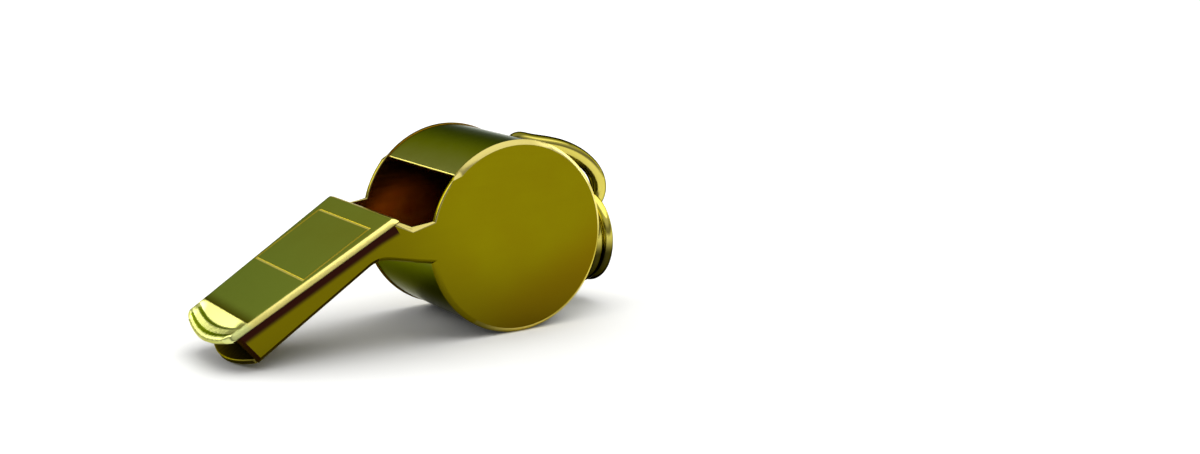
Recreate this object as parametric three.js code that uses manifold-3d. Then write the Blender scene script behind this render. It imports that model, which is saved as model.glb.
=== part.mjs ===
// Pea whistle of soldered brass sheet: a round barrel between two flat side plates, a flat
// tapered mouthpiece, a wire loop at the back with a split ring, and a loose cork pea inside.
// Millimetres, +Z up. The whistle rests on its barrel and on the tip of its mouthpiece.
import * as THREE from 'three';
import { mergeVertices } from 'three/addons/utils/BufferGeometryUtils.js';
import Module from 'manifold-3d';

const wasm = await Module();
wasm.setup();

// Driving dimensions of the barrel
const barrelDiameter = 21;
const bodyWidth = 17;
const sheetThickness = 0.6;
const rimProud = 0.15;
const labiumAngle = 104.5;
const notchAngle = 134;
const bandEndAngle = 142;
const throatAngle = 158.5;

// Driving dimensions of the mouthpiece, reaches counted from the barrel axis
const mouthpieceReach = 32.4;
const roofThickness = 0.7;
const roofStep = 0.05;
const roofRearWidth = 16.7;
const roofTipWidth = 13.1;
const roofEaves = 0.25;
const windowLength = 7.7;
const tipBulge = 1.4;
const tipDepth = 4.25;
const neckDepth = 2.9;
const neckReach = 14.3;
const neckFillet = 1.1;
const floorSetback = 0.85;
const wallSetback = 0.4;
const wallRake = 0.6;
const plateBendLength = 3;
const plateBendMargin = 0.15;
const notchDrop = 0.85;
const lipStart = 1.7;
const lipRise = 0.4;
const hollowLength = 3.2;
const hollowWidth = 10.6;
const hollowDepth = 0.35;
const barThickness = 0.5;
const barOverlap = 1.2;
const slitHeight = 1.1;
const barSeatAngle = 2;

// Driving dimensions of the loop, the split ring and the pea
const loopWire = 1.8;
const loopUpperAngle = 29;
const loopLowerAngle = -33.5;
const loopLegAngle = -30;
const loopLegPull = 10.4;
const ringDiameter = 10.8;
const ringWire = 1;
const ringTurnGap = 0.42;
const ringCrossing = 40;
const ringEndGap = 6;
const ringStart = -20;
const peaDiameter = 12.2;

// Clearances
const solderGap = 0.25;
const peaClearance = 0.3;
const ringStandoff = 1.5;
const ringSeatClearance = 0.2;

// Fineness of the round forms
const arcSegments = 80;
const wireSides = 10;
const loopSteps = 26;
const ringSteps = 56;
const measuringPoints = 720;
const seatStep = 0.01;
const mergeTolerance = 1e-5;
const peaDetail = 6;

// Values that follow from the dimensions above
const radians = THREE.MathUtils.degToRad;
const barrelRadius = barrelDiameter / 2;
const bandRadius = barrelRadius - rimProud;
const chamberRadius = bandRadius - sheetThickness;
const plateOuter = bodyWidth / 2;
const plateInner = plateOuter - sheetThickness;
const roofTop = barrelRadius + roofStep;
const roofBottom = roofTop - roofThickness;
const roofRear = bandRadius * Math.cos(radians(labiumAngle)) - windowLength;
const roofCorner = tipBulge - mouthpieceReach;
const floorFront = floorSetback - mouthpieceReach;
const floorCorner = floorFront + tipBulge;
const wallFront = roofCorner + wallSetback;
const wallHeel = wallFront + wallRake;
const wallTop = roofBottom - solderGap;
const plateBendStart = -barrelRadius - plateBendMargin;
const plateBendEnd = plateBendStart - plateBendLength;

const point = (x, y) => new THREE.Vector2(x, y);
const polar = (radius, degrees) =>
  point(radius * Math.cos(radians(degrees)), radius * Math.sin(radians(degrees)));

// Underside of the mouthpiece, a straight line from the tip to the neck
const floorUnder = (x) =>
  THREE.MathUtils.mapLinear(x, wallHeel, -neckReach, roofTop - tipDepth, roofTop - neckDepth);

// Half widths of the mouthpiece in plan
const roofHalf = (x) =>
  THREE.MathUtils.mapLinear(x, roofRear, roofCorner, roofRearWidth / 2, roofTipWidth / 2);
const wallOuter = (x) => (x >= plateBendStart ? plateOuter : roofHalf(x) - roofEaves);
const lining = (x) => wallOuter(x) - sheetThickness - solderGap;

// The whistle lies tipped forward until the lower lip meets the table
const lipPoint = point(floorFront, floorUnder(floorFront));
const tilt = Math.atan2(lipPoint.y, -lipPoint.x) + Math.asin(barrelRadius / lipPoint.length());

const brass = (colour, roughness) =>
  new THREE.MeshStandardMaterial({ color: colour, roughness, metalness: 1 });

// A closed geometry as a solid for cutting and joining
function solid(geometry) {
  const bare = geometry.clone();
  bare.deleteAttribute('normal');
  bare.deleteAttribute('uv');
  const merged = mergeVertices(bare, mergeTolerance);
  return new wasm.Manifold(new wasm.Mesh({
    numProp: 3,
    vertProperties: Float32Array.from(merged.attributes.position.array),
    triVerts: Uint32Array.from(merged.index.array),
  }));
}

function geometryOf(body) {
  const mesh = body.getMesh();
  const geometry = new THREE.BufferGeometry();
  geometry.setAttribute('position', new THREE.BufferAttribute(mesh.vertProperties, 3));
  geometry.setIndex(new THREE.BufferAttribute(mesh.triVerts, 1));
  geometry.computeVertexNormals();
  return geometry;
}

function piece(name, geometry, material) {
  const mesh = new THREE.Mesh(geometry, material);
  mesh.name = name;
  return mesh;
}

// A side view, x along and y up, extruded across the whistle between two half widths
function across(shape, halfWidth) {
  const options = { depth: 2 * halfWidth, bevelEnabled: false, curveSegments: arcSegments };
  const geometry = new THREE.ExtrudeGeometry(shape, options);
  geometry.rotateX(Math.PI / 2);
  geometry.translate(0, halfWidth, 0);
  return geometry;
}

// A plan, x along and y across, extruded upwards between two heights
function upwards(shape, low, high) {
  const options = { depth: high - low, bevelEnabled: false, curveSegments: arcSegments / 4 };
  const geometry = new THREE.ExtrudeGeometry(shape, options);
  geometry.translate(0, 0, low);
  return geometry;
}

// A side view cut to its plan
function trimmed(sideShape, planShape) {
  const side = solid(across(sideShape, bodyWidth));
  const plan = solid(upwards(planShape, -bodyWidth - mouthpieceReach, bodyWidth + mouthpieceReach));
  return side.intersect(plan);
}

function barrelCore(radius) {
  const geometry = new THREE.CylinderGeometry(radius, radius, 2 * bodyWidth, 2 * arcSegments);
  return solid(geometry);
}

// Where two lines, each moved to its left by an offset, cross
function offsetCorner(before, corner, after, offset) {
  const first = corner.clone().sub(before).normalize();
  const second = after.clone().sub(corner).normalize();
  const firstSide = point(-first.y, first.x);
  const secondSide = point(-second.y, second.x);
  const middle = firstSide.clone().add(secondSide).normalize();
  return corner.clone().addScaledVector(middle, offset / middle.dot(firstSide));
}

// Rounds the corner of an outline that goes from before to after
function filletTo(shape, before, corner, after, size) {
  const start = corner.clone().addScaledVector(before.clone().sub(corner).normalize(), size);
  const end = corner.clone().addScaledVector(after.clone().sub(corner).normalize(), size);
  shape.lineTo(start.x, start.y);
  shape.quadraticCurveTo(corner.x, corner.y, end.x, end.y);
}

// Corner points of the neck, seen from the side
const heel = point(wallHeel, floorUnder(wallHeel));
const neckCorner = point(-neckReach, floorUnder(-neckReach));
const throat = polar(barrelRadius, throatAngle);
const notchFoot = polar(barrelRadius, notchAngle);
const notchTop = point(roofRear - solderGap, roofBottom - notchDrop);

// The barrel's wall, a strip bent round from the labium to the lip of the windway
function barrelBand() {
  const shape = new THREE.Shape();
  const start = radians(labiumAngle);
  const end = radians(bandEndAngle - 360);
  shape.absarc(0, 0, bandRadius, start, end, true);
  shape.absarc(0, 0, chamberRadius, end, start, false);
  return piece('barrel_band', across(shape, plateInner), brass(0x8c8420, 0.16));
}

// Disc, neck and mouthpiece wall in one sheet, bent in at the neck
function sidePlate(name, side) {
  const outline = new THREE.Shape();
  outline.moveTo(notchFoot.x, notchFoot.y);
  outline.lineTo(notchTop.x, notchTop.y);
  outline.lineTo(notchTop.x - solderGap, wallTop);
  outline.lineTo(wallFront, wallTop);
  outline.lineTo(heel.x, heel.y);
  filletTo(outline, heel, neckCorner, throat, neckFillet);
  outline.lineTo(throat.x, throat.y);
  outline.absarc(0, 0, barrelRadius, radians(throatAngle), radians(notchAngle + 360), false);

  const stations = [2 * barrelRadius, plateBendStart, plateBendEnd, -2 * mouthpieceReach];
  const outside = stations.map((x) => point(x, side * wallOuter(x)));
  const inside = stations.map((x) => point(x, side * (wallOuter(x) - sheetThickness)));
  const plan = new THREE.Shape([...outside, ...inside.reverse()]);
  return piece(name, geometryOf(trimmed(outline, plan)), brass(0x948a1c, 0.14));
}

// Plan of what lies between the side plates, with a bowed front edge
function liningPlan(front, corner) {
  const edge = [-chamberRadius / 2, plateBendStart, plateBendEnd, corner];
  const plan = new THREE.Shape(edge.map((x) => point(x, lining(x))));
  plan.quadraticCurveTo(2 * front - corner, 0, corner, -lining(corner));
  edge.reverse().forEach((x) => plan.lineTo(x, -lining(x)));
  return plan;
}

// Bottom sheet of the mouthpiece, turned down at the neck to meet the barrel
function mouthpieceFloor() {
  const front = point(2 * floorFront, floorUnder(2 * floorFront));
  const inside = throat.clone().multiplyScalar(chamberRadius / barrelRadius);
  const end = throat.clone().add(throat.clone().sub(neckCorner).setLength(barThickness));
  const upperCorner = offsetCorner(front, neckCorner, throat, sheetThickness);
  const upperShift = upperCorner.clone().sub(neckCorner);
  const upperFront = point(front.x, front.y + sheetThickness);
  const upperEnd = end.clone().add(upperShift);

  const shape = new THREE.Shape();
  shape.moveTo(front.x, front.y);
  filletTo(shape, front, neckCorner, throat, neckFillet);
  shape.lineTo(end.x, end.y);
  shape.lineTo(inside.x, inside.y);
  shape.lineTo(upperEnd.x, upperEnd.y);
  filletTo(shape, upperEnd, upperCorner, upperFront, neckFillet);
  shape.lineTo(upperFront.x, upperFront.y);

  const sheet = trimmed(shape, liningPlan(floorFront, floorCorner));
  const body = sheet.subtract(barrelCore(bandRadius + solderGap));
  return piece('mouthpiece_floor', geometryOf(body), brass(0x857c1a, 0.18));
}

// Top sheet of the mouthpiece, with a raised lip and a shallow hollow for the teeth
function mouthpieceRoof() {
  const tip = -mouthpieceReach;
  const lip = lipStart - mouthpieceReach;
  const side = new THREE.Shape();
  side.moveTo(roofRear, roofBottom);
  side.lineTo(roofRear, roofTop);
  side.lineTo(lip, roofTop);
  side.quadraticCurveTo((lip + tip) / 2, roofTop, tip, roofTop + lipRise);
  side.lineTo(tip, roofBottom + lipRise);
  side.quadraticCurveTo((lip + tip) / 2, roofBottom, lip, roofBottom);

  const plan = new THREE.Shape();
  plan.moveTo(roofRear, roofHalf(roofRear));
  plan.lineTo(roofCorner, roofHalf(roofCorner));
  plan.quadraticCurveTo(roofCorner - 2 * tipBulge, 0, roofCorner, -roofHalf(roofCorner));
  plan.lineTo(roofRear, -roofHalf(roofRear));

  const hollow = new THREE.SphereGeometry(1, arcSegments / 2, arcSegments / 4);
  hollow.scale(hollowLength / 2, hollowWidth / 2, hollowDepth);
  hollow.translate(lip + hollowLength / 2 - lipStart / 2, 0, roofTop);
  const body = trimmed(side, plan).subtract(solid(hollow));
  return piece('mouthpiece_roof', geometryOf(body), brass(0x6c741d, 0.15));
}

// Inner plate that narrows the windway to a slit and ends on the barrel's front lip
function windwayBar() {
  const bearing = -neckReach - barOverlap;
  const low = floorUnder(bearing) + sheetThickness + solderGap;
  const bend = point(roofRear - solderGap, roofBottom - slitHeight);
  const start = point(bearing, low + barThickness);
  const end = polar(chamberRadius, bandEndAngle + barSeatAngle);
  const bendLow = offsetCorner(start, bend, end, -barThickness);
  const endLow = end.clone().add(bendLow).sub(bend);

  const shape = new THREE.Shape([start, bend, end, endLow, bendLow, point(bearing, low)]);
  const plate = trimmed(shape, liningPlan(floorFront, floorCorner));
  const body = plate.subtract(barrelCore(bandRadius + solderGap));
  return piece('windway_bar', geometryOf(body), brass(0x7a7018, 0.25));
}

// Centre line of the loop, a bow of wire in the plane of symmetry with two parallel legs
const loopUpperFoot = polar(chamberRadius, loopUpperAngle);
const loopLowerFoot = polar(chamberRadius, loopLowerAngle);
const loopLeg = polar(loopLegPull, loopLegAngle);
const loopLine = new THREE.CubicBezierCurve3(
  ...[
    loopUpperFoot,
    loopUpperFoot.clone().add(loopLeg),
    loopLowerFoot.clone().add(loopLeg),
    loopLowerFoot,
  ].map((corner) => new THREE.Vector3(corner.x, 0, corner.y)),
);

function wireShape(diameter) {
  const shape = new THREE.Shape();
  shape.absarc(0, 0, diameter / 2, 0, 2 * Math.PI, false);
  return shape;
}

function wire(path, diameter, steps) {
  const options = { steps, extrudePath: path, bevelEnabled: false, curveSegments: wireSides };
  return new THREE.ExtrudeGeometry(wireShape(diameter), options);
}

function lanyardLoop() {
  const bow = solid(wire(loopLine, loopWire, loopSteps));
  const body = bow.subtract(barrelCore(bandRadius + solderGap));
  return piece('lanyard_loop', geometryOf(body), brass(0x8f861c, 0.14));
}

// Two flat turns of wire about the x axis, with one short crossing between them
class SplitRingLine extends THREE.Curve {
  getPoint(t, target = new THREE.Vector3()) {
    const turned = t * (720 - ringCrossing - ringEndGap);
    const step = THREE.MathUtils.smoothstep(turned, 360 - ringCrossing, 360);
    const angle = radians(turned + ringStart);
    return target.set(
      (step - 0.5) * ringPitch,
      ringRadius * Math.cos(angle),
      ringRadius * Math.sin(angle),
    );
  }
}

const ringPitch = ringWire + ringTurnGap;
const ringRadius = (ringDiameter - ringWire) / 2;
const ringLine = new SplitRingLine();

// The ring hangs in the loop, as low as the wires let it, at its standoff from the barrel's back
function ringSeat() {
  const tip = (p) => p.applyAxisAngle(new THREE.Vector3(0, 1, 0), -tilt);
  const bow = loopLine.getPoints(measuringPoints).map(tip);
  const x = bandRadius + ringStandoff + ringWire / 2 + ringPitch / 2;
  const turns = [x - ringPitch / 2, x + ringPitch / 2];
  const reach = (loopWire + ringWire) / 2 + ringSeatClearance;
  const near = (p, z) => turns.some((turn) => Math.hypot(p.x - turn, p.z - z) < reach);
  let z = bow.at(-1).z;
  while (bow.some((p) => near(p, z))) z += seatStep;
  return new THREE.Vector3(x, 0, z);
}

function splitRing() {
  const ring = piece('split_ring', wire(ringLine, ringWire, ringSteps), brass(0xa39a3a, 0.12));
  const seat = ringSeat();
  ring.position.set(seat.x, 0, seat.z - ringRadius);
  return ring;
}

// Least distance between the two turns, measured on points of the wire's centre line
function ringGap() {
  const points = ringLine.getPoints(measuringPoints);
  const quarterOfWire = Math.round(measuringPoints / 4);
  let least = Infinity;
  points.forEach((p, i) => {
    points.slice(i + quarterOfWire).forEach((q) => {
      least = Math.min(least, p.distanceTo(q));
    });
  });
  return least - ringWire;
}

function corkPea() {
  const radius = peaDiameter / 2;
  const material = new THREE.MeshStandardMaterial({ color: 0xb06a32, roughness: 0.85 });
  const pea = piece('cork_pea', new THREE.IcosahedronGeometry(radius, peaDetail), material);
  pea.position.z = -(chamberRadius - radius - peaClearance);
  return pea;
}

// The soldered body lies tipped forward, the pea and the ring hang under gravity
const body = new THREE.Group();
body.add(
  barrelBand(),
  sidePlate('side_plate_right', -1),
  sidePlate('side_plate_left', 1),
  mouthpieceFloor(),
  mouthpieceRoof(),
  windwayBar(),
  lanyardLoop(),
);
body.rotation.y = -tilt;

const whistle = new THREE.Group();
whistle.add(body, splitRing(), corkPea());

// The origin is the middle of the whistle's footprint, on the table
const box = new THREE.Box3().setFromObject(whistle, true);
const middle = box.getCenter(new THREE.Vector3());
whistle.position.set(-middle.x, -middle.y, -box.min.z);

console.log(`split ring, least gap between turns: ${ringGap().toFixed(3)} mm`);

export default whistle;
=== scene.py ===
import math

import bpy
from mathutils import Matrix, Vector


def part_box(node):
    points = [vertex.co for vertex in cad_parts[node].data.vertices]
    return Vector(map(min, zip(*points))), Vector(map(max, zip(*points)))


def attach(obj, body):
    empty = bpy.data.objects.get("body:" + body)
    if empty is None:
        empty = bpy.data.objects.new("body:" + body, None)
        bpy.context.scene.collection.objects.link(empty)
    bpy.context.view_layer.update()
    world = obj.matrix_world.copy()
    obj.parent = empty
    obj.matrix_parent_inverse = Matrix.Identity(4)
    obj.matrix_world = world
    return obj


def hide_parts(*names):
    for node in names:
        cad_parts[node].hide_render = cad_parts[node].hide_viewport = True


# A polished brass pea whistle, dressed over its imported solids.
# Each piece is modelled round the barrel's axis, with the roof level along x and z up, and is then
# tipped forward with the rest of the body until the lower lip meets the floor.

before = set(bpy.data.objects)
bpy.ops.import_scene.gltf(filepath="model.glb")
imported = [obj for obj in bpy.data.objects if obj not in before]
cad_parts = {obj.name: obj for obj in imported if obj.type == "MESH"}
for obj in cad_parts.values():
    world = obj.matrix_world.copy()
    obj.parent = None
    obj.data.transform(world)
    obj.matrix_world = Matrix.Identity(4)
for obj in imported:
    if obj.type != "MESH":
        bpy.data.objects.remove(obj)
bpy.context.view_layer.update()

MM = 0.001
CORNER_STEPS = 8

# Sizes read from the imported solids
band_low, band_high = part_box("barrel_band")
plate_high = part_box("side_plate_left")[1]
BARREL_AXIS = (band_low + band_high) / 2
BAND_RADIUS = (band_high.x - band_low.x) / 2
BARREL_RADIUS = plate_high.z / 2
PLATE_INNER = band_high.y
PLATE_OUTER = plate_high.y
SHEET = PLATE_OUTER - PLATE_INNER

# Barrel: angles in degrees of the window's edges and of the neck, seen from the side
LABIUM_ANGLE = 104.5
NOTCH_ANGLE = 134
BAND_END_ANGLE = 142
THROAT_ANGLE = 158.5
THROAT_PLAY = 1
BARE_RIM_ANGLE = 207
WINDOW_ARC_STEPS = 8
DISC_STEPS = 160
BAND_SEGMENTS = 192
RIM_ROUNDING = 0.5 * MM
EDGE_ROUNDING = 0.12 * MM
ROUNDED_STRIP = 0.6 * MM
BEND_LINES = 6

# Mouthpiece, reaches counted from the barrel's axis
REACH = 32.4 * MM
ROOF_THICKNESS = 0.7 * MM
ROOF_STEP = 0.05 * MM
ROOF_REAR_WIDTH = 16.7 * MM
ROOF_TIP_WIDTH = 13.1 * MM
ROOF_EAVES = 0.25 * MM
ROOF_ROUNDING = 0.55 * MM
WINDOW_LENGTH = 7.7 * MM
TIP_BULGE = 1.4 * MM
TIP_DEPTH = 4.25 * MM
NECK_DEPTH = 2.9 * MM
NECK_REACH = 14.3 * MM
NECK_FILLET = 1.1 * MM
FLOOR_SETBACK = 0.85 * MM
WALL_SETBACK = 0.4 * MM
WALL_RAKE = 0.6 * MM
BEND_MARGIN = 0.15 * MM
BEND_LENGTH = 3 * MM
NOTCH_DROP = 0.85 * MM
NOTCH_SLOPE = 0.3
SEAM = 0.25 * MM
LINING_PLAY = 0.02 * MM

# Tip of the roof: a sharp crease, a hollow for the teeth, a low step with an apron before it, and
# a bead along the bowed front
CREASE = -28.7 * MM
CREASE_SUPPORT = 0.15 * MM
HOLLOW_SLOPE = 20
HOLLOW_LENGTH = 1.55 * MM
HOLLOW_BOW = 0.75
STEP_HEIGHT = 0.3 * MM
STEP_WIDTH = 0.36 * MM
APRON_SLOPE = 14
BEAD_HEIGHT = 0.12 * MM
BEAD_WIDTH = 0.7 * MM
BEAD_FOOT = 0.35 * MM
HOLLOW_SIDE = 1.3 * MM
FRONT_CELL = 0.62 * MM

# Fineness of the mouthpiece's sheets
ROOF_ROWS = 20
TIP_COLUMNS = 26
RECESS_COLUMNS = 4
FLAT_COLUMNS = 24
ROOF_COLUMNS = TIP_COLUMNS + 1 + FLAT_COLUMNS
FLOOR_COLUMNS = 72
FLOOR_ROWS = 20
BAR_COLUMNS = 40
BAR_ROWS = 12

# Engraved frame on the roof
FRAME_FRONT = 21.8 * MM
FRAME_REAR = 12.85 * MM
FRAME_WIDTH = 12.9 * MM
FRAME_LINE = 0.27 * MM
FRAME_CUT = 0.06 * MM
FRAME_SHIFT = 0.1 * MM

# Inner plate of the windway
BAR_THICKNESS = 0.5 * MM
BAR_OVERLAP = 1.2 * MM
SLIT_HEIGHT = 1.1 * MM
BAR_SEAT_ANGLE = 2

# Wire loop and split ring
LOOP_WIRE = 1.9 * MM
LOOP_UPPER_ANGLE = 29
LOOP_LOWER_ANGLE = -33.5
LOOP_LEG_ANGLE = -30
LOOP_LEG_PULL = 10.4 * MM
LOOP_POINTS = 60
FOOT_POINTS = 16
FOOT_SWEEP = 15
FOOT_TIP = 0.2
FOOT_SINK = 0.6 * MM
FOOT_SMOOTHING = 24
RING_WIRE = 1.28 * MM
RING_PITCH = 1.42 * MM
RING_CROSSING = 40
RING_END_GAP = 6
RING_START = -20
RING_POINTS = 220
WIRE_ROUNDNESS = 9

# Cork pea
PEA_SUBDIVISIONS = 6
PEA_ROUGHNESS = 0.16 * MM
CORK_GRAIN = 1.1 * MM

# Places that follow from the sizes
CHAMBER_RADIUS = BAND_RADIUS - SHEET
ROOF_TOP = BARREL_RADIUS + ROOF_STEP
ROOF_BOTTOM = ROOF_TOP - ROOF_THICKNESS
ROOF_REAR = BAND_RADIUS * math.cos(math.radians(LABIUM_ANGLE)) - WINDOW_LENGTH
ROOF_CORNER = TIP_BULGE - REACH
FLOOR_FRONT = FLOOR_SETBACK - REACH
FLOOR_CORNER = FLOOR_FRONT + TIP_BULGE
WALL_FRONT = ROOF_CORNER + WALL_SETBACK
WALL_HEEL = WALL_FRONT + WALL_RAKE
WALL_TOP = ROOF_BOTTOM + SEAM / 2
BEND_START = -BARREL_RADIUS - BEND_MARGIN
BEND_END = BEND_START - BEND_LENGTH
LOOP_FOOT_RADIUS = (BAND_RADIUS + CHAMBER_RADIUS) / 2


def between(x, x0, x1, y0, y1):
    return y0 + (y1 - y0) * (x - x0) / (x1 - x0)


def ease(x, low, high):
    share = min(max((x - low) / (high - low), 0), 1)
    return share * share * (3 - 2 * share)


def polar(radius, degrees):
    angle = math.radians(degrees)
    return Vector((radius * math.cos(angle), 0, radius * math.sin(angle)))


def rounded_corner(before, corner, after, size):
    """Points of a path that goes round a corner in a smooth bend."""
    start = corner + (before - corner).normalized() * size
    end = corner + (after - corner).normalized() * size
    shares = [step / CORNER_STEPS for step in range(CORNER_STEPS + 1)]
    return [start * (1 - s) ** 2 + corner * 2 * s * (1 - s) + end * s ** 2 for s in shares]


def floor_under(x):
    return between(x, WALL_HEEL, -NECK_REACH, ROOF_TOP - TIP_DEPTH, ROOF_TOP - NECK_DEPTH)


def roof_half(x):
    return between(x, ROOF_REAR, ROOF_CORNER, ROOF_REAR_WIDTH / 2, ROOF_TIP_WIDTH / 2)


def wall_outer(x):
    """Half width over the plates: flat beside the barrel, then a smooth bend into the taper."""
    if x >= BEND_START:
        return PLATE_OUTER
    if x <= BEND_END:
        return roof_half(x) - ROOF_EAVES
    share = (BEND_START - x) / BEND_LENGTH
    end = roof_half(BEND_END) - ROOF_EAVES
    end_slope = roof_half(BEND_END) - roof_half(BEND_START)
    bent = (end - PLATE_OUTER) * ease(share, 0, 1)
    return PLATE_OUTER + bent + end_slope * share * share * (share - 1)


LIP = Vector((FLOOR_FRONT, 0, floor_under(FLOOR_FRONT)))
TILT = math.atan2(LIP.z, -LIP.x) + math.asin(BARREL_RADIUS / LIP.length)
NECK_CORNER = Vector((-NECK_REACH, 0, floor_under(-NECK_REACH)))
THROAT = polar(BARREL_RADIUS, THROAT_ANGLE)
LEVEL_SHIFT = Matrix.Rotation(TILT, 3, "Y") @ -BARREL_AXIS


# Colours and materials

def linear(hex_colour):
    """An sRGB hex colour as linear red, green, blue and alpha."""
    channels = [int(hex_colour[i:i + 2], 16) / 255 for i in (1, 3, 5)]
    return [c / 12.92 if c <= 0.04045 else ((c + 0.055) / 1.055) ** 2.4 for c in channels] + [1]


def add_node(tree, kind, values=None, links=None, **settings):
    """One node, with its settings, the values of its sockets and what is linked into them."""
    node = tree.nodes.new(kind)
    for name, value in settings.items():
        setattr(node, name, value)
    for socket, value in (values or {}).items():
        node.inputs[socket].default_value = value
    for socket, source in (links or {}).items():
        tree.links.new(source, node.inputs[socket])
    return node


def new_material(name):
    material = bpy.data.materials.new(name)
    material.use_nodes = True
    tree = material.node_tree
    tree.nodes.clear()
    return material, tree


def polished_brass(name, colour, shade, roughness, tone_and_light_steps=(), grazing="#e8e098"):
    """Rolled brass sheet or wire, buffed and lacquered: a clear mirror that stays a little wavy.
    Its tone drifts over some millimetres where the lacquer has grown old, and fine buffing lines
    cross it, drawn coarser than real so that they show. Each step takes it to another colour
    between two places in mm; most steps paint shade or a highlight, some the sheet's own tone:
    by the height over the floor, or, from the barrel's axis, along the mouthpiece, above it or
    across it to both sides. The grazing colour keeps it from turning white where it is seen at a
    flat angle."""
    drift_size = 5 * MM
    wave_size = 2.4 * MM
    wave_depth = 0.02 * MM
    line_size = 0.35 * MM
    line_stretch = 0.06
    dullest = 1.6 * roughness
    material, tree = new_material(name)
    place = add_node(tree, "ShaderNodeTexCoord")
    drift = add_node(
        tree, "ShaderNodeTexNoise",
        values={"Scale": 1 / drift_size, "Detail": 3, "Roughness": 0.55},
        links={"Vector": place.outputs["Object"]},
    )
    tone = add_node(
        tree, "ShaderNodeMix", data_type="RGBA",
        values={6: linear(colour), 7: linear(shade)},
        links={0: drift.outputs["Fac"]},
    )
    standing = add_node(tree, "ShaderNodeSeparateXYZ", links={"Vector": place.outputs["Object"]})
    level = add_node(
        tree, "ShaderNodeMapping",
        values={"Location": LEVEL_SHIFT, "Rotation": (0, TILT, 0)},
        links={"Vector": place.outputs["Object"]},
    )
    axes = add_node(tree, "ShaderNodeSeparateXYZ", links={"Vector": level.outputs["Vector"]})
    sideways = add_node(tree, "ShaderNodeMath", operation="ABSOLUTE", links={0: axes.outputs["Y"]})
    ways = {
        "height": standing.outputs["Z"],
        "along": axes.outputs["X"],
        "above": axes.outputs["Z"],
        "across": sideways.outputs["Value"],
    }
    # Each step mixes in another colour: painted shade, a painted highlight or the sheet's own tone
    for way, step_from, step_to, step_colour in tone_and_light_steps:
        amount = add_node(
            tree, "ShaderNodeMapRange", interpolation_type="SMOOTHSTEP",
            values={"From Min": step_from * MM, "From Max": step_to * MM},
            links={"Value": ways[way]},
        )
        tone = add_node(
            tree, "ShaderNodeMix", data_type="RGBA",
            values={7: linear(step_colour)},
            links={0: amount.outputs["Result"], 6: tone.outputs[2]},
        )
    stretch = add_node(
        tree, "ShaderNodeMapping",
        values={"Scale": (line_stretch, 1, 1)},
        links={"Vector": place.outputs["Object"]},
    )
    lines = add_node(
        tree, "ShaderNodeTexNoise",
        values={"Scale": 1 / line_size, "Detail": 2},
        links={"Vector": stretch.outputs["Vector"]},
    )
    gloss = add_node(
        tree, "ShaderNodeMapRange",
        values={"From Min": 0.3, "From Max": 0.7, "To Min": roughness, "To Max": dullest},
        links={"Value": lines.outputs["Fac"]},
    )
    waves = add_node(
        tree, "ShaderNodeTexNoise",
        values={"Scale": 1 / wave_size, "Detail": 1},
        links={"Vector": place.outputs["Object"]},
    )
    bump = add_node(
        tree, "ShaderNodeBump",
        values={"Strength": 0.12, "Distance": wave_depth},
        links={"Height": waves.outputs["Fac"]},
    )
    shader = add_node(
        tree, "ShaderNodeBsdfPrincipled",
        values={"Metallic": 1, "Specular Tint": linear(grazing)},
        links={
            "Base Color": tone.outputs[2],
            "Roughness": gloss.outputs["Result"],
            "Normal": bump.outputs["Normal"],
        },
    )
    add_node(tree, "ShaderNodeOutputMaterial", links={"Surface": shader.outputs["BSDF"]})
    return material


def pressed_cork():
    """Cork turned to a ball: matt, with rounded grains of light and dark bark and open pores."""
    grain_size = 0.9 * MM
    pore_size = 0.35 * MM
    pore_depth = 0.12 * MM
    material, tree = new_material("pressed_cork")
    place = add_node(tree, "ShaderNodeTexCoord")
    grains = add_node(
        tree, "ShaderNodeTexVoronoi",
        values={"Scale": 1 / grain_size, "Randomness": 1},
        links={"Vector": place.outputs["Object"]},
    )
    tint = add_node(tree, "ShaderNodeSeparateColor", links={"Color": grains.outputs["Color"]})
    tone = add_node(
        tree, "ShaderNodeMix", data_type="RGBA",
        values={6: linear("#d8681c"), 7: linear("#f4a050")},
        links={0: tint.outputs["Red"]},
    )
    pores = add_node(
        tree, "ShaderNodeTexNoise",
        values={"Scale": 1 / pore_size, "Detail": 4, "Roughness": 0.7},
        links={"Vector": place.outputs["Object"]},
    )
    holes = add_node(
        tree, "ShaderNodeMapRange",
        values={"From Min": 0.32, "From Max": 0.44, "To Min": 0.75, "To Max": 0},
        links={"Value": pores.outputs["Fac"]},
    )
    colour = add_node(
        tree, "ShaderNodeMix", data_type="RGBA",
        values={7: linear("#4a2410")},
        links={0: holes.outputs["Result"], 6: tone.outputs[2]},
    )
    bump = add_node(
        tree, "ShaderNodeBump",
        values={"Strength": 0.6, "Distance": pore_depth},
        links={"Height": pores.outputs["Fac"]},
    )
    shader = add_node(
        tree, "ShaderNodeBsdfPrincipled",
        values={"Roughness": 0.88},
        links={"Base Color": colour.outputs[2], "Normal": bump.outputs["Normal"]},
    )
    add_node(tree, "ShaderNodeOutputMaterial", links={"Surface": shader.outputs["BSDF"]})
    return material


def studio_paper():
    """Matt white paper, with a faint unevenness of its fibres."""
    fibre_size = 6 * MM
    material, tree = new_material("white_paper")
    place = add_node(tree, "ShaderNodeTexCoord")
    fibres = add_node(
        tree, "ShaderNodeTexNoise",
        values={"Scale": 1 / fibre_size, "Detail": 4},
        links={"Vector": place.outputs["Object"]},
    )
    tone = add_node(
        tree, "ShaderNodeMix", data_type="RGBA",
        values={6: linear("#f3f3f1"), 7: linear("#f6f6f4")},
        links={0: fibres.outputs["Fac"]},
    )
    shader = add_node(
        tree, "ShaderNodeBsdfPrincipled",
        values={"Roughness": 1, "Specular IOR Level": 0},
        links={"Base Color": tone.outputs[2]},
    )
    add_node(tree, "ShaderNodeOutputMaterial", links={"Surface": shader.outputs["BSDF"]})
    return material
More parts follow.
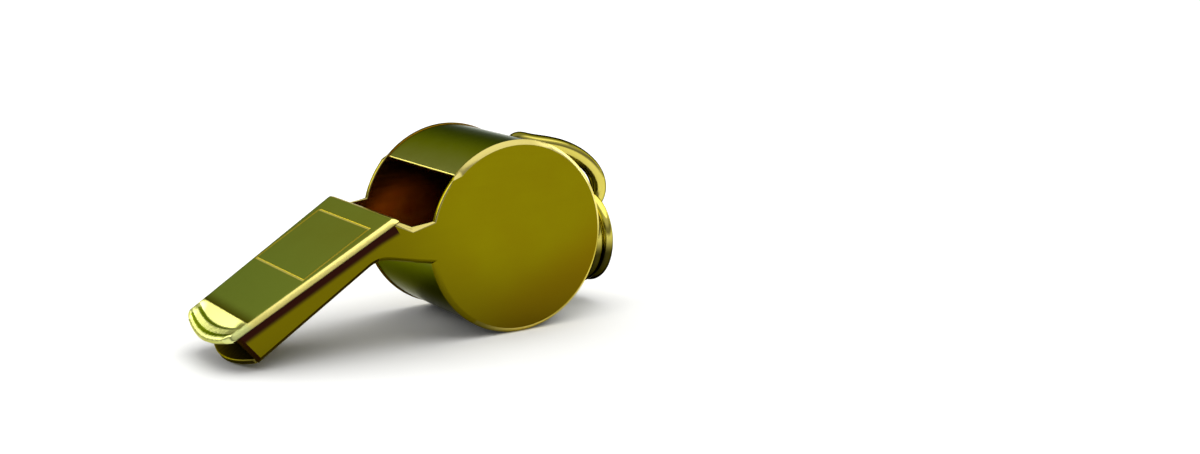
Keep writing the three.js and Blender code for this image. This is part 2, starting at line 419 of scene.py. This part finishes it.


# The plates: gold mirrors, with painted shade that turns them browner below the axis and darker
# towards the floor; they are also darker along the mouthpiece
DISC_SHADE_AND_TONE = [
    ("above", -2, -8.5, "#745f03"),
    ("height", 11, -3, "#594804"),
    ("along", -3, -16, "#645b04"),
]
GOLD_SHEET = polished_brass("polished_brass_sheet", "#7d7604", "#776904", 0.13, tone_and_light_steps=DISC_SHADE_AND_TONE)
# The mouthpiece's walls: the same sheet, with a painted dark brown shadow close under the roof
WALL_SHEET = polished_brass(
    "polished_brass_wall", "#7d7604", "#776904", 0.13,
    tone_and_light_steps=DISC_SHADE_AND_TONE + [("above", 8.7, 9.3, "#28100a")],
)
# The roof: a greener sheet, with a painted brown shade at the crease
OLIVE_SHEET = polished_brass(
    "olive_brass_sheet_crease_shade", "#8d933c", "#858430", 0.12,
    tone_and_light_steps=[("along", -14, -25, "#89943c"), ("along", -27.3, -28.9, "#564414")], grazing="#cfe0b4",
)
# The barrel's strip: olive, with painted shade that darkens it low down
OLIVE_BAND = polished_brass(
    "olive_brass_strip_shaded_low", "#949856", "#8b8a48", 0.12,
    tone_and_light_steps=[("height", 10, 2, "#504e20")], grazing="#8e9c80",
)
# The strip under the neck: green, with painted shade that falls off to black at the floor
SHADED_BAND = polished_brass(
    "shaded_brass_underside", "#7a824c", "#6e7642", 0.14,
    tone_and_light_steps=[("height", 10.5, 4, "#0a0c05")], grazing="#b4b690",
)
# Edges and the tip: rubbed pale and partly a painted highlight, with a green cast at the tip
BRIGHT_EDGE = polished_brass(
    "rubbed_brass_edge_highlight", "#e6da86", "#d8cb66", 0.16,
    tone_and_light_steps=[("along", -28.2, -29.2, "#ccd184")],
)
# The plates' rims: rubbed pale, with painted highlights at the back and along the bottom edge,
# and painted shade on their lower part
RIM_WEAR_AND_HIGHLIGHT = polished_brass(
    "rubbed_brass_rim_highlight", "#aa9f60", "#9f934e", 0.16,
    tone_and_light_steps=[
        ("along", 6.5, 9.5, "#f2e492"),
        ("height", 12, 6, "#6c6226"),
        ("above", -5, -9.6, "#e2cf6c"),
    ],
)
# The loop's wire: pale flanks as a painted highlight, a painted dark reflection along its middle,
# and painted shade low down
LOOP_BRASS = polished_brass(
    "brazed_brass_wire", "#d6ca68", "#c6b848", 0.1,
    tone_and_light_steps=[("across", 0.86, 0.62, "#56521e"), ("height", 9.5, 6.5, "#3a3610")], grazing="#585c28",
)
# The ring's wire: a painted highlight above and painted shade below
RING_BRASS = polished_brass(
    "polished_brass_wire", "#d6ca68", "#c6b848", 0.1,
    tone_and_light_steps=[("height", 8.8, 6.2, "#3a3610")], grazing="#585c28",
)
# Corners that the buffing wheel misses: green and a little duller
DULL_RECESS = polished_brass("unbuffed_brass_recess", "#90a038", "#84922e", 0.2, grazing="#b0bc7c")
# Painted dark brown shade: the roof's sides, the underside of its tip and the rounded foot and
# front of the mouthpiece's walls
SHADED_EDGE = polished_brass("shaded_brass_edge", "#301309", "#1c0c06", 0.24)
# Unpolished faces inside the windway: dark and rough
RAW_INSIDE = polished_brass("raw_brass_inside", "#3a2e10", "#201808", 0.42)
# Inside of the chamber: plain yellow brass that glows brown from the cork
CHAMBER_INSIDE = polished_brass("plain_brass_chamber", "#b08c30", "#94721c", 0.16)
CORK = pressed_cork()


# Modelling steps that every piece shares

# Distances and angles within which points count as meeting, and the make of the rounded edges
MERGE_REACH = 0.001 * MM
TOUCH = 0.01 * MM
TOUCH_ANGLE = 0.1
SHARP_ANGLE = 40
SMOOTH_ANGLE = 32
FLAT_FACE_WEIGHT = 80
EDGE_SEGMENTS = 3
EDGE_PROFILE = 0.5
RIM_SEGMENTS = 4
RIM_PROFILE = 0.32

# Least part of a face's normal that counts as facing a way
FACING_INSIDE = 0.9
FACING_SIDE = 0.8
FACING_UP = 0.5


def deselect():
    bpy.ops.object.select_all(action="DESELECT")


def begin(name, *materials):
    """The primitive that was just added becomes a named piece with its materials."""
    piece = bpy.context.object
    piece.name = name
    piece.data.name = name
    for material in materials:
        piece.data.materials.append(material)
    return piece


def slot_of(piece, material):
    return piece.data.materials.find(material.name)


def work_on(piece):
    deselect()
    piece.select_set(True)
    bpy.context.view_layer.objects.active = piece


def settle(piece):
    """Puts the piece's place, turn and scale into its mesh."""
    work_on(piece)
    bpy.ops.object.transform_apply(location=True, rotation=True, scale=True)


def use_modifier(piece, kind, **settings):
    """Adds one modifier and applies it."""
    work_on(piece)
    modifier = piece.modifiers.new(kind.lower(), kind)
    for name, value in settings.items():
        setattr(modifier, name, value)
    bpy.ops.object.modifier_apply(modifier=modifier.name)


def round_edges(piece, material):
    """Takes the sharpness off every edge, in a finish of its own."""
    use_modifier(
        piece, "BEVEL", width=EDGE_ROUNDING, segments=EDGE_SEGMENTS, limit_method="ANGLE",
        angle_limit=math.radians(SHARP_ANGLE), use_clamp_overlap=False,
        material=slot_of(piece, material),
    )


def pick_faces(piece, wanted):
    """Opens the piece in edit mode with only the wanted faces selected."""
    work_on(piece)
    bpy.ops.object.mode_set(mode="EDIT")
    bpy.ops.mesh.select_mode(type="FACE")
    bpy.ops.mesh.select_all(action="DESELECT")
    bpy.ops.object.mode_set(mode="OBJECT")
    for face in piece.data.polygons:
        face.select = wanted(face)
    bpy.ops.object.mode_set(mode="EDIT")


def round_picked(piece, wanted, material, width, segments=RIM_SEGMENTS, profile=RIM_PROFILE):
    """Rounds the edges that pass a test of their two ends."""
    work_on(piece)
    bpy.ops.object.mode_set(mode="EDIT")
    bpy.ops.mesh.select_mode(type="EDGE")
    bpy.ops.mesh.select_all(action="DESELECT")
    bpy.ops.object.mode_set(mode="OBJECT")
    points = [vertex.co.copy() for vertex in piece.data.vertices]
    for edge in piece.data.edges:
        edge.select = wanted(points[edge.vertices[0]], points[edge.vertices[1]])
    bpy.ops.object.mode_set(mode="EDIT")
    bpy.ops.mesh.bevel(
        offset=width, segments=segments, profile=profile, affect="EDGES", clamp_overlap=False,
        material=slot_of(piece, material),
    )
    bpy.ops.object.mode_set(mode="OBJECT")


def face_out(piece):
    work_on(piece)
    bpy.ops.object.mode_set(mode="EDIT")
    bpy.ops.mesh.select_all(action="SELECT")
    bpy.ops.mesh.remove_doubles(threshold=MERGE_REACH)
    bpy.ops.mesh.normals_make_consistent(inside=False)
    bpy.ops.object.mode_set(mode="OBJECT")


def polish(piece):
    """Smooth shading that keeps flat faces flat and sharp edges sharp."""
    work_on(piece)
    bpy.ops.object.shade_smooth_by_angle(angle=math.radians(SMOOTH_ANGLE))
    use_modifier(piece, "WEIGHTED_NORMAL", keep_sharp=True, weight=FLAT_FACE_WEIGHT)


def tip_forward(piece):
    """From the level working position to the whistle's place on the floor."""
    piece.rotation_euler = (0, -TILT, 0)
    piece.location = BARREL_AXIS
    settle(piece)


def hand_over(piece, node, body):
    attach(piece, body)
    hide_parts(node)


def add_outline(name, points, *materials):
    """A flat face in the plane of symmetry through the given points."""
    deselect()
    bpy.ops.mesh.primitive_circle_add(vertices=len(points), fill_type="NGON")
    piece = begin(name, *materials)
    for vertex, point in zip(piece.data.vertices, points):
        vertex.co = point
    return piece


def add_sheet(name, columns, rows, place, *materials):
    """A fine sheet. A function places each point by its share along, 0 to 1, and its share
    across, -1 to 1."""
    deselect()
    bpy.ops.mesh.primitive_grid_add(x_subdivisions=columns, y_subdivisions=rows, size=2)
    piece = begin(name, *materials)
    for vertex in piece.data.vertices:
        vertex.co = place((vertex.co.x + 1) / 2, vertex.co.y)
    return piece


# Barrel

def in_window(face):
    angle = math.degrees(math.atan2(face.center.z, face.center.x))
    return LABIUM_ANGLE < angle < BAND_END_ANGLE


def on_underside(face):
    """From the lip of the windway down to where the barrel meets the floor."""
    angle = math.degrees(math.atan2(face.center.z, face.center.x)) % 360
    return BAND_END_ANGLE < angle < 270 - math.degrees(TILT)


def barrel_wall():
    deselect()
    bpy.ops.mesh.primitive_cylinder_add(
        vertices=BAND_SEGMENTS, radius=BAND_RADIUS, depth=2 * PLATE_INNER,
        end_fill_type="NOTHING", rotation=(math.pi / 2, 0, 0),
    )
    wall = begin("barrel_wall", OLIVE_BAND, BRIGHT_EDGE, CHAMBER_INSIDE, SHADED_BAND)
    settle(wall)
    wall.rotation_euler = (0, -math.radians(LABIUM_ANGLE), 0)
    settle(wall)
    pick_faces(wall, in_window)
    bpy.ops.mesh.delete(type="FACE")
    bpy.ops.object.mode_set(mode="OBJECT")
    inside = slot_of(wall, CHAMBER_INSIDE)
    use_modifier(wall, "SOLIDIFY", thickness=SHEET, offset=-1, material_offset=inside)
    round_edges(wall, BRIGHT_EDGE)
    # Outside faces on the underside take the finish with painted shade
    for face in wall.data.polygons:
        if face.material_index == slot_of(wall, OLIVE_BAND) and on_underside(face):
            face.material_index = slot_of(wall, SHADED_BAND)
    polish(wall)
    tip_forward(wall)
    hand_over(wall, "barrel_band", "whistle_body")


def plate_outline():
    """Side view of one plate: the disc, then the neck and the wall of the mouthpiece."""
    heel = Vector((WALL_HEEL, 0, floor_under(WALL_HEEL)))
    neck_top = Vector((ROOF_REAR - SEAM, 0, ROOF_BOTTOM - NOTCH_DROP))
    foot = polar(BARREL_RADIUS, NOTCH_ANGLE)
    arcs = (
        (NOTCH_ANGLE, LABIUM_ANGLE, WINDOW_ARC_STEPS),
        (LABIUM_ANGLE, THROAT_ANGLE - 360, DISC_STEPS),
    )
    disc = []
    for start, end, steps in arcs:
        for step in range(steps):
            disc.append(polar(BARREL_RADIUS, between(step, 0, steps, start, end)))
    neck = [
        THROAT,
        *rounded_corner(THROAT, NECK_CORNER, heel, NECK_FILLET),
        heel,
        Vector((WALL_FRONT, 0, WALL_TOP)),
        Vector((ROOF_REAR - SEAM, 0, WALL_TOP)),
        neck_top.lerp(foot, NOTCH_SLOPE),
    ]
    return disc + neck


def on_outer_edge(a, b):
    """An edge of the plate's outline on its outer face, and no bend line across it."""
    for point in (a, b):
        if abs(abs(point.y) - wall_outer(point.x)) > TOUCH:
            return False
    bend_line = abs(a.x - b.x) < MERGE_REACH and a.x < BEND_START
    under_roof = min(a.z, b.z) > WALL_TOP - TOUCH and max(a.x, b.x) < ROOF_REAR
    return not (bend_line or under_roof)


def on_window_arc(point):
    """On the disc's outline between the labium and the notch."""
    angle = math.degrees(math.atan2(point.z, point.x))
    on_disc = abs(math.hypot(point.x, point.z) - BARREL_RADIUS) < TOUCH
    return on_disc and LABIUM_ANGLE - TOUCH_ANGLE < angle < NOTCH_ANGLE + TOUCH_ANGLE


def on_neck_top(point):
    """On the outline between the notch and the roof."""
    foot = polar(BARREL_RADIUS, NOTCH_ANGLE)
    ahead = ROOF_REAR - SEAM - TOUCH < point.x < foot.x + TOUCH
    return ahead and point.z > foot.z - TOUCH


def on_rim(a, b):
    return on_outer_edge(a, b) and not (on_window_arc(a) and on_window_arc(b))


def on_window_edge(a, b):
    """Along the window or the notch, on either face of the plate."""
    for point in (a, b):
        from_faces = [abs(abs(point.y) - face) for face in (PLATE_OUTER, PLATE_INNER)]
        if min(from_faces) >= TOUCH or not (on_window_arc(point) or on_neck_top(point)):
            return False
    return abs(a.y - b.y) < TOUCH


def under_neck(face):
    """Faces along the lower edges of the disc's front and of the neck."""
    x, z = face.center.x, face.center.z
    if x <= NECK_CORNER.x:
        return False
    if x < THROAT.x:
        lower_edge = between(x, NECK_CORNER.x, THROAT.x, NECK_CORNER.z, THROAT.z)
        return z < lower_edge + ROUNDED_STRIP
    angle = math.degrees(math.atan2(z, x)) % 360
    return THROAT_ANGLE - THROAT_PLAY < angle < BARE_RIM_ANGLE


def round_wall(face):
    """Faces along the lower edge and the front of the mouthpiece's wall."""
    x, z = face.center.x, face.center.z
    low = z < floor_under(x) + ROUNDED_STRIP
    ahead = x < WALL_HEEL + ROUNDED_STRIP
    return x <= NECK_CORNER.x and (low or ahead)


def side_plate(name, node, side):
    outline = plate_outline()
    if side < 0:
        outline.reverse()
    plate = add_outline(
        name, outline, GOLD_SHEET, RIM_WEAR_AND_HIGHLIGHT, CHAMBER_INSIDE, WALL_SHEET, SHADED_EDGE,
    )
    bpy.ops.object.mode_set(mode="EDIT")
    for line in range(BEND_LINES):
        bend = BEND_START - BEND_LENGTH * (line + 1) / BEND_LINES
        bpy.ops.mesh.select_all(action="SELECT")
        bpy.ops.mesh.bisect(plane_co=(bend, 0, 0), plane_no=(1, 0, 0), threshold=MERGE_REACH)
    bpy.ops.object.mode_set(mode="OBJECT")
    for face in plate.data.polygons:
        if face.center.x < BEND_START - BEND_LENGTH / BEND_LINES:
            face.material_index = slot_of(plate, WALL_SHEET)
    for vertex in plate.data.vertices:
        vertex.co.y = side * wall_outer(vertex.co.x)
    use_modifier(plate, "SOLIDIFY", thickness=SHEET, offset=-1)
    face_out(plate)
    round_picked(plate, on_rim, RIM_WEAR_AND_HIGHLIGHT, RIM_ROUNDING)
    round_picked(
        plate, on_window_edge, RIM_WEAR_AND_HIGHLIGHT, EDGE_ROUNDING,
        segments=EDGE_SEGMENTS, profile=EDGE_PROFILE,
    )
    # Under the neck the rounding keeps the plain sheet; on the wall's foot and front it is painted
    # shade
    for face in plate.data.polygons:
        rounded = face.material_index == slot_of(plate, RIM_WEAR_AND_HIGHLIGHT)
        if rounded and under_neck(face):
            face.material_index = slot_of(plate, GOLD_SHEET)
        elif rounded and round_wall(face):
            face.material_index = slot_of(plate, SHADED_EDGE)
        elif side * face.normal.y < -FACING_INSIDE:
            face.material_index = slot_of(plate, CHAMBER_INSIDE)
    polish(plate)
    tip_forward(plate)
    hand_over(plate, node, "whistle_body")


# Mouthpiece

def roof_front(across):
    return ROOF_CORNER - TIP_BULGE * (1 - across * across)


def hollow_bottom(across):
    """How far in front of the crease the hollow ends: less towards the sides."""
    return HOLLOW_LENGTH * (1 - HOLLOW_BOW * across * across)


def tip_height(x, y, across):
    """Height of the roof over its flat part: the hollow, the step, the apron and the bead."""
    to_front = x - roof_front(across)
    behind = CREASE - x
    bottom = hollow_bottom(across)
    fall = math.tan(math.radians(HOLLOW_SLOPE)) * min(max(behind, 0), bottom)
    step = STEP_HEIGHT * ease(behind, bottom, bottom + STEP_WIDTH)
    apron = math.tan(math.radians(APRON_SLOPE)) * max(behind - bottom - STEP_WIDTH, 0)
    bead = BEAD_HEIGHT * (1 - ease(to_front, BEAD_WIDTH, BEAD_WIDTH + BEAD_FOOT))
    from_side = roof_half(x) - abs(y)
    rise = step + bead - fall - apron
    return rise * ease(from_side, ROOF_ROUNDING, ROOF_ROUNDING + HOLLOW_SIDE)


def roof_point(along, across):
    """Columns are close together from the front to the crease and wide apart behind it."""
    column = round(along * ROOF_COLUMNS)
    front = roof_front(across)
    if column == 0:
        x = front
    elif column <= TIP_COLUMNS:
        x = between(column, 1, TIP_COLUMNS, front + FRONT_CELL, CREASE)
    else:
        x = between(column, TIP_COLUMNS + 1, ROOF_COLUMNS, CREASE + CREASE_SUPPORT, ROOF_REAR)
    y = across * roof_half(x)
    return Vector((x, y, ROOF_TOP + tip_height(x, y, across)))


def on_roof_edge(a, b):
    """An edge along the top of the roof's outline."""
    for point in (a, b):
        across = point.y / roof_half(point.x)
        beside = roof_half(point.x) - abs(point.y) < TOUCH
        ahead = abs(point.x - roof_front(across)) < TOUCH
        behind = abs(point.x - ROOF_REAR) < TOUCH
        if point.z < ROOF_TOP - ROOF_THICKNESS / 2 or not (beside or ahead or behind):
            return False
    return True


def in_recess(face):
    """The feet of the step and of the bead, which the buffing wheel doesn't reach."""
    x, y = face.center.x, face.center.y
    across = y / roof_half(x)
    up_step = CREASE - x - hollow_bottom(across)
    column = between(x, roof_front(across) + FRONT_CELL, CREASE, 1, TIP_COLUMNS)
    inside = roof_half(x) - abs(y) > ROOF_ROUNDING + HOLLOW_SIDE / 2
    at_step = 0 < up_step < STEP_WIDTH
    at_bead = 1 < column < 1 + RECESS_COLUMNS
    return face.normal.z > FACING_UP and inside and (at_step or at_bead)


def engraved_frame():
    """Cutter for the thin engraved rectangle."""
    deselect()
    middle = (-(FRAME_FRONT + FRAME_REAR) / 2, FRAME_SHIFT, ROOF_TOP)
    bpy.ops.mesh.primitive_plane_add(size=1, location=middle)
    cutter = begin("engraved_frame", BRIGHT_EDGE)
    cutter.scale = (FRAME_FRONT - FRAME_REAR, FRAME_WIDTH, 1)
    settle(cutter)
    bpy.ops.object.mode_set(mode="EDIT")
    bpy.ops.mesh.select_mode(type="FACE")
    bpy.ops.mesh.select_all(action="SELECT")
    bpy.ops.mesh.inset(thickness=FRAME_LINE)
    bpy.ops.mesh.delete(type="FACE")
    bpy.ops.object.mode_set(mode="OBJECT")
    use_modifier(cutter, "SOLIDIFY", thickness=2 * FRAME_CUT, offset=0)
    return cutter


def mouthpiece_top():
    top = add_sheet(
        "mouthpiece_top", ROOF_COLUMNS, ROOF_ROWS, roof_point,
        OLIVE_SHEET, BRIGHT_EDGE, RAW_INSIDE, SHADED_EDGE, DULL_RECESS,
    )
    # In front of the crease the roof takes the pale finish, partly a painted highlight
    for face in top.data.polygons:
        if face.center.x < CREASE:
            face.material_index = slot_of(top, BRIGHT_EDGE)
    # The underside is raw behind the crease, and painted dark brown as shade in front of it
    underside = slot_of(top, RAW_INSIDE)
    use_modifier(top, "SOLIDIFY", thickness=ROOF_THICKNESS, offset=-1, material_offset=underside)
    # The roof's sides: painted dark brown shade
    for face in top.data.polygons:
        if abs(face.normal.y) > FACING_SIDE:
            face.material_index = slot_of(top, SHADED_EDGE)
    round_picked(top, on_roof_edge, BRIGHT_EDGE, ROOF_ROUNDING)
    use_modifier(top, "SUBSURF", levels=1, render_levels=1)
    for face in top.data.polygons:
        if in_recess(face):
            face.material_index = slot_of(top, DULL_RECESS)
    cutter = engraved_frame()
    use_modifier(
        top, "BOOLEAN", operation="DIFFERENCE", object=cutter, solver="EXACT",
        material_mode="TRANSFER",
    )
    bpy.data.objects.remove(cutter)
    polish(top)
    tip_forward(top)
    hand_over(top, "mouthpiece_roof", "whistle_body")


def lining_half(x):
    return wall_outer(x) - SHEET - LINING_PLAY


def along_path(path, share):
    """A point at a share of the way along straight stretches."""
    lengths = [(b - a).length for a, b in zip(path, path[1:])]
    left = share * sum(lengths)
    for a, b, length in zip(path, path[1:], lengths):
        if left <= length:
            return a.lerp(b, left / length)
        left -= length
    return path[-1]


def floor_point(along, across):
    x = FLOOR_CORNER - TIP_BULGE * (1 - across * across)
    front = Vector((x, 0, floor_under(x)))
    end = polar(BAND_RADIUS, THROAT_ANGLE)
    path = [front, *rounded_corner(front, NECK_CORNER, end, NECK_FILLET), end]
    point = along_path(path, along)
    point.y = across * lining_half(point.x)
    return point


def mouthpiece_base():
    base = add_sheet(
        "mouthpiece_base", FLOOR_COLUMNS, FLOOR_ROWS, floor_point,
        RAW_INSIDE, RIM_WEAR_AND_HIGHLIGHT, GOLD_SHEET,
    )
    outside = slot_of(base, GOLD_SHEET)
    use_modifier(base, "SOLIDIFY", thickness=SHEET, offset=1, material_offset=outside)
    face_out(base)
    round_edges(base, RIM_WEAR_AND_HIGHLIGHT)
    polish(base)
    tip_forward(base)
    hand_over(base, "mouthpiece_floor", "whistle_body")


def bar_point(along, across):
    bearing = -NECK_REACH - BAR_OVERLAP
    start = Vector((bearing, 0, floor_under(bearing) + SHEET + SEAM + BAR_THICKNESS))
    bend = Vector((ROOF_REAR - SEAM, 0, ROOF_BOTTOM - SLIT_HEIGHT))
    end = polar(BAND_RADIUS, BAND_END_ANGLE + BAR_SEAT_ANGLE)
    path = [start, *rounded_corner(start, bend, end, BAR_THICKNESS), end]
    point = along_path(path, along)
    point.y = across * lining_half(point.x)
    return point


def windway_plate():
    plate = add_sheet("windway_plate", BAR_COLUMNS, BAR_ROWS, bar_point, RAW_INSIDE, BRIGHT_EDGE)
    use_modifier(plate, "SOLIDIFY", thickness=BAR_THICKNESS, offset=-1)
    face_out(plate)
    round_edges(plate, BRIGHT_EDGE)
    polish(plate)
    tip_forward(plate)
    hand_over(plate, "windway_bar", "whistle_body")


# Loop, ring and pea

def add_wire(name, places, thickness, material):
    """A round wire along the given places, each with its share of the full thickness."""
    deselect()
    bpy.ops.curve.primitive_nurbs_path_add()
    wire = begin(name)
    wire.data.splines.clear()
    line = wire.data.splines.new("POLY")
    line.points.add(len(places) - 1)
    for point, (place, share) in zip(line.points, places):
        point.co = (*place, 1)
        point.radius = share
    wire.data.bevel_depth = thickness / 2
    wire.data.bevel_resolution = WIRE_ROUNDNESS
    wire.data.use_fill_caps = True
    wire.data.materials.append(material)
    work_on(wire)
    bpy.ops.object.convert(target="MESH")
    return wire


def loop_foot(seat):
    """The upper foot: it lies along the barrel and swells from a flattened end to the full wire."""
    seat_angle = math.degrees(math.atan2(seat.z, seat.x))
    foot = []
    for step in range(FOOT_POINTS):
        share = step / FOOT_POINTS
        swell = between(math.sqrt(1 - (1 - share) ** 2), 0, 1, FOOT_TIP, 1)
        radius = BAND_RADIUS - FOOT_SINK + swell * LOOP_WIRE / 2
        foot.append((polar(radius, seat_angle + FOOT_SWEEP * (1 - share)), swell))
    return foot


def relaxed(places):
    """The same wire with its kinks smoothed out."""
    for _ in range(FOOT_SMOOTHING):
        smooth = [
            ((a[0] + 2 * b[0] + c[0]) / 4, b[1])
            for a, b, c in zip(places, places[1:], places[2:])
        ]
        places = [places[0], *smooth, places[-1]]
    return places


def wire_loop():
    """A bow from the upper foot out, down and back, with its lower end in the barrel's wall."""
    leg = polar(LOOP_LEG_PULL, LOOP_LEG_ANGLE)
    upper = polar(LOOP_FOOT_RADIUS, LOOP_UPPER_ANGLE)
    lower = polar(LOOP_FOOT_RADIUS, LOOP_LOWER_ANGLE)
    bow = []
    for step in range(LOOP_POINTS + 1):
        share = step / LOOP_POINTS
        from_upper = upper * (1 - share) ** 2 * (1 + 2 * share)
        to_lower = lower * share ** 2 * (3 - 2 * share)
        place = from_upper + to_lower + leg * 3 * share * (1 - share)
        clear_of_wall = place.length > BAND_RADIUS - FOOT_SINK + LOOP_WIRE / 2
        if clear_of_wall or share > 0.5:
            bow.append((place, 1))
    places = relaxed(loop_foot(bow[0][0]) + bow)
    loop = add_wire("wire_loop", places, LOOP_WIRE, LOOP_BRASS)
    polish(loop)
    tip_forward(loop)
    hand_over(loop, "lanyard_loop", "whistle_body")


def key_ring():
    """Two flat turns of wire with one short crossing, hanging in the loop."""
    low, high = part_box("split_ring")
    middle = (low + high) / 2
    turn_radius = (high.z - low.z) / 2 - RING_WIRE / 2
    places = []
    for i in range(RING_POINTS):
        turned = i / (RING_POINTS - 1) * (720 - RING_CROSSING - RING_END_GAP)
        step = ease(turned, 360 - RING_CROSSING, 360) - 0.5
        angle = math.radians(turned + RING_START)
        around = Vector((0, math.cos(angle), math.sin(angle))) * turn_radius
        places.append((middle + around + Vector((step * RING_PITCH, 0, 0)), 1))
    ring = add_wire("key_ring", places, RING_WIRE, RING_BRASS)
    settle(ring)
    polish(ring)
    hand_over(ring, "split_ring", "ring")


def cork_ball():
    low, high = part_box("cork_pea")
    deselect()
    bpy.ops.mesh.primitive_ico_sphere_add(
        subdivisions=PEA_SUBDIVISIONS, radius=(high.z - low.z) / 2 - PEA_ROUGHNESS / 2,
        location=(low + high) / 2,
    )
    ball = begin("cork_ball", CORK)
    settle(ball)
    grain = bpy.data.textures.new("cork_grain", "VORONOI")
    grain.noise_scale = CORK_GRAIN
    use_modifier(
        ball, "DISPLACE", texture=grain, texture_coords="GLOBAL", strength=PEA_ROUGHNESS,
        mid_level=0.5,
    )
    polish(ball)
    hand_over(ball, "cork_pea", "pea")


barrel_wall()
side_plate("right_plate", "side_plate_right", -1)
side_plate("left_plate", "side_plate_left", 1)
mouthpiece_base()
mouthpiece_top()
windway_plate()
wire_loop()
key_ring()
cork_ball()


# Studio: a white paper floor, a soft room, one wide soft light overhead and two soft panels

FLOOR_SIZE = 6
LIGHT_LEVEL = 1.8
LIGHT_SPREAD = 80
LIGHT_LEAN = (5, 16)
# The room's brightness by the sine of the height above the horizon
ROOM_LEVELS = ((0, 0.9), (0.07, 0.6), (0.14, 0.22), (0.3, 0.24), (0.46, 0.6), (1, 0.8))
REAR_PANEL_PLACE = Vector((-0.34, 0.48, 0.30))
REAR_PANEL_SIZE = 0.36
REAR_PANEL_POWER = 1.4
RIM_PANEL_PLACE = Vector((0.46, 0.10, 0.17))
RIM_PANEL_SIZE = 0.24
RIM_PANEL_POWER = 0.36


def soft_panel(name, place, size, power):
    """A square lamp that faces the barrel."""
    bpy.ops.object.light_add(type="AREA", location=place)
    panel = bpy.context.object
    panel.name = name
    panel.data.size = size
    panel.data.energy = power
    panel.rotation_euler = (BARREL_AXIS - place).to_track_quat("-Z", "Y").to_euler()


def soft_room():
    world = bpy.data.worlds.new("soft_room")
    world.use_nodes = True
    tree = world.node_tree
    tree.nodes.clear()
    bpy.context.scene.world = world
    direction = add_node(tree, "ShaderNodeTexCoord")
    height = add_node(
        tree, "ShaderNodeSeparateXYZ", links={"Vector": direction.outputs["Generated"]},
    )
    walls = add_node(tree, "ShaderNodeValToRGB", links={"Fac": height.outputs["Z"]})
    ramp = walls.color_ramp.elements
    while len(ramp) < len(ROOM_LEVELS):
        ramp.new(0.5)
    for stop, (position, level) in zip(ramp, ROOM_LEVELS):
        stop.position = position
        stop.color = (level, level, level, 1)
    room = add_node(tree, "ShaderNodeBackground", links={"Color": walls.outputs["Color"]})
    add_node(tree, "ShaderNodeOutputWorld", links={"Surface": room.outputs["Background"]})


def overhead_softbox():
    bpy.ops.object.light_add(type="SUN")
    lamp = bpy.context.object
    lamp.name = "overhead_softbox"
    lamp.data.energy = LIGHT_LEVEL
    lamp.data.angle = math.radians(LIGHT_SPREAD)
    lamp.rotation_euler = (math.radians(LIGHT_LEAN[0]), math.radians(LIGHT_LEAN[1]), 0)


def studio():
    deselect()
    bpy.ops.mesh.primitive_plane_add(size=FLOOR_SIZE)
    paper = begin("paper_floor", studio_paper())
    soft_room()
    overhead_softbox()
    soft_panel("rear_softbox", REAR_PANEL_PLACE, REAR_PANEL_SIZE, REAR_PANEL_POWER)
    soft_panel("rim_softbox", RIM_PANEL_PLACE, RIM_PANEL_SIZE, RIM_PANEL_POWER)
    bpy.context.scene.view_settings.view_transform = "Standard"


# Camera: the photograph's place and lens

CAMERA_PLACE = Vector((-76.31, -153.60, 47.06)) * MM
CAMERA_TURN = (78.04, 0.66, -33.40)
CAMERA_LENS = 48
CAMERA_SENSOR = 36
CAMERA_NEAR = 1 * MM


def photographer():
    bpy.ops.object.camera_add(location=CAMERA_PLACE)
    camera = bpy.context.object
    camera.rotation_euler = [math.radians(turn) for turn in CAMERA_TURN]
    camera.data.lens = CAMERA_LENS
    camera.data.sensor_width = CAMERA_SENSOR
    camera.data.clip_start = CAMERA_NEAR
    bpy.context.scene.camera = camera


studio()
photographer()
